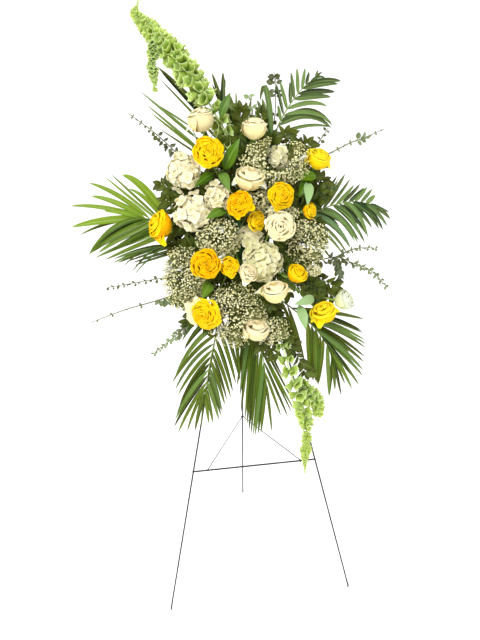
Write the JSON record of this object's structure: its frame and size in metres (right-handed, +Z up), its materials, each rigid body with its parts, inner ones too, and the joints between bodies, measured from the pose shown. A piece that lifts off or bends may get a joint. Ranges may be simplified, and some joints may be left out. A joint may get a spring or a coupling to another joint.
{
  "type": "standing funeral spray",
  "caption": "Fan-shaped spray of roses, hydrangea, gypsophila, bells of Ireland and palm in a foam cage that hangs on a folding three-legged wire easel.",
  "frame": {"origin": "on the floor under the middle of the whole part's box", "axes": "+Z up; the flowers face -Y; +X to the viewer's right"},
  "size_m": [0.8649, 0.4678, 1.7304],
  "materials": {
    "easel_wire": "satin",
    "foam": "matte",
    "cage": "satin",
    "yellow_petal": "matte",
    "cream_petal": "matte",
    "hydrangea_petal": "matte",
    "bell": "matte",
    "palm_leaf": "satin",
    "eucalyptus_leaf": "matte",
    "rose_green": "matte",
    "gypsophila_bloom": "matte"
  },
  "bodies": {
    "stand": {"leg_front_left": "easel_wire", "leg_front_right": "easel_wire", "crossbar_low": "easel_wire", "crossbar_high": "easel_wire", "hinge_pin": "easel_wire", "foam_block": "foam", "foam_cage": "cage", "rose_yellow_1": "yellow_petal", "rose_yellow_2": "yellow_petal", "rose_yellow_3": "yellow_petal", "rose_yellow_4": "yellow_petal", "rose_yellow_5": "yellow_petal", "rose_yellow_6": "yellow_petal", "rose_yellow_7": "yellow_petal", "rose_yellow_8": "yellow_petal", "rose_yellow_9": "yellow_petal", "rose_yellow_10": "yellow_petal", "rose_yellow_11": "yellow_petal", "rose_yellow_12": "yellow_petal", "rose_cream_1": "cream_petal", "rose_cream_2": "cream_petal", "rose_cream_3": "cream_petal", "rose_cream_4": "cream_petal", "rose_cream_5": "cream_petal", "rose_cream_6": "cream_petal", "rose_cream_7": "cream_petal", "rose_cream_8": "cream_petal", "rose_stems_upper_left": "rose_green", "rose_stems_upper_right": "rose_green", "rose_stems_lower_left": "rose_green", "rose_stems_lower_right": "rose_green", "hydrangea_1": "hydrangea_petal", "hydrangea_2": "hydrangea_petal", "hydrangea_3": "hydrangea_petal", "hydrangea_4": "hydrangea_petal", "hydrangea_5": "hydrangea_petal", "bells_top": "bell", "bells_bottom": "bell", "frond_1": "palm_leaf", "frond_2": "palm_leaf", "frond_3": "palm_leaf", "frond_4": "palm_leaf", "frond_5": "palm_leaf", "frond_6": "palm_leaf", "frond_7": "palm_leaf", "frond_8": "palm_leaf", "frond_9": "palm_leaf", "eucalyptus_1": "eucalyptus_leaf", "eucalyptus_2": "eucalyptus_leaf", "eucalyptus_3": "eucalyptus_leaf", "eucalyptus_4": "eucalyptus_leaf", "eucalyptus_5": "eucalyptus_leaf", "gypsophila_1": "gypsophila_bloom", "gypsophila_2": "gypsophila_bloom", "gypsophila_3": "gypsophila_bloom", "gypsophila_4": "gypsophila_bloom", "gypsophila_5": "gypsophila_bloom"},
    "back_leg": {"back_leg": "easel_wire"},
    "brace": {"brace_left": "easel_wire", "brace_right": "easel_wire"}
  },
  "joints": [
    {"name": "back_leg_fold", "type": "hinge", "parent": "stand", "child": "back_leg", "pos_m": [0.015, 0.1282, 1.2703], "axis": [-1, 0, 0], "range_deg": [0, 17]},
    {"name": "brace_fold", "type": "hinge", "parent": "stand", "child": "brace", "pos_m": [0.015, -0.0958, 0.4622], "axis": [-1, 0, 0], "range_deg": [0, 82]}
  ],
  "couplings": [
    {"joint": "brace_fold", "follows": "back_leg_fold", "ratio": 4.8}
  ]
}
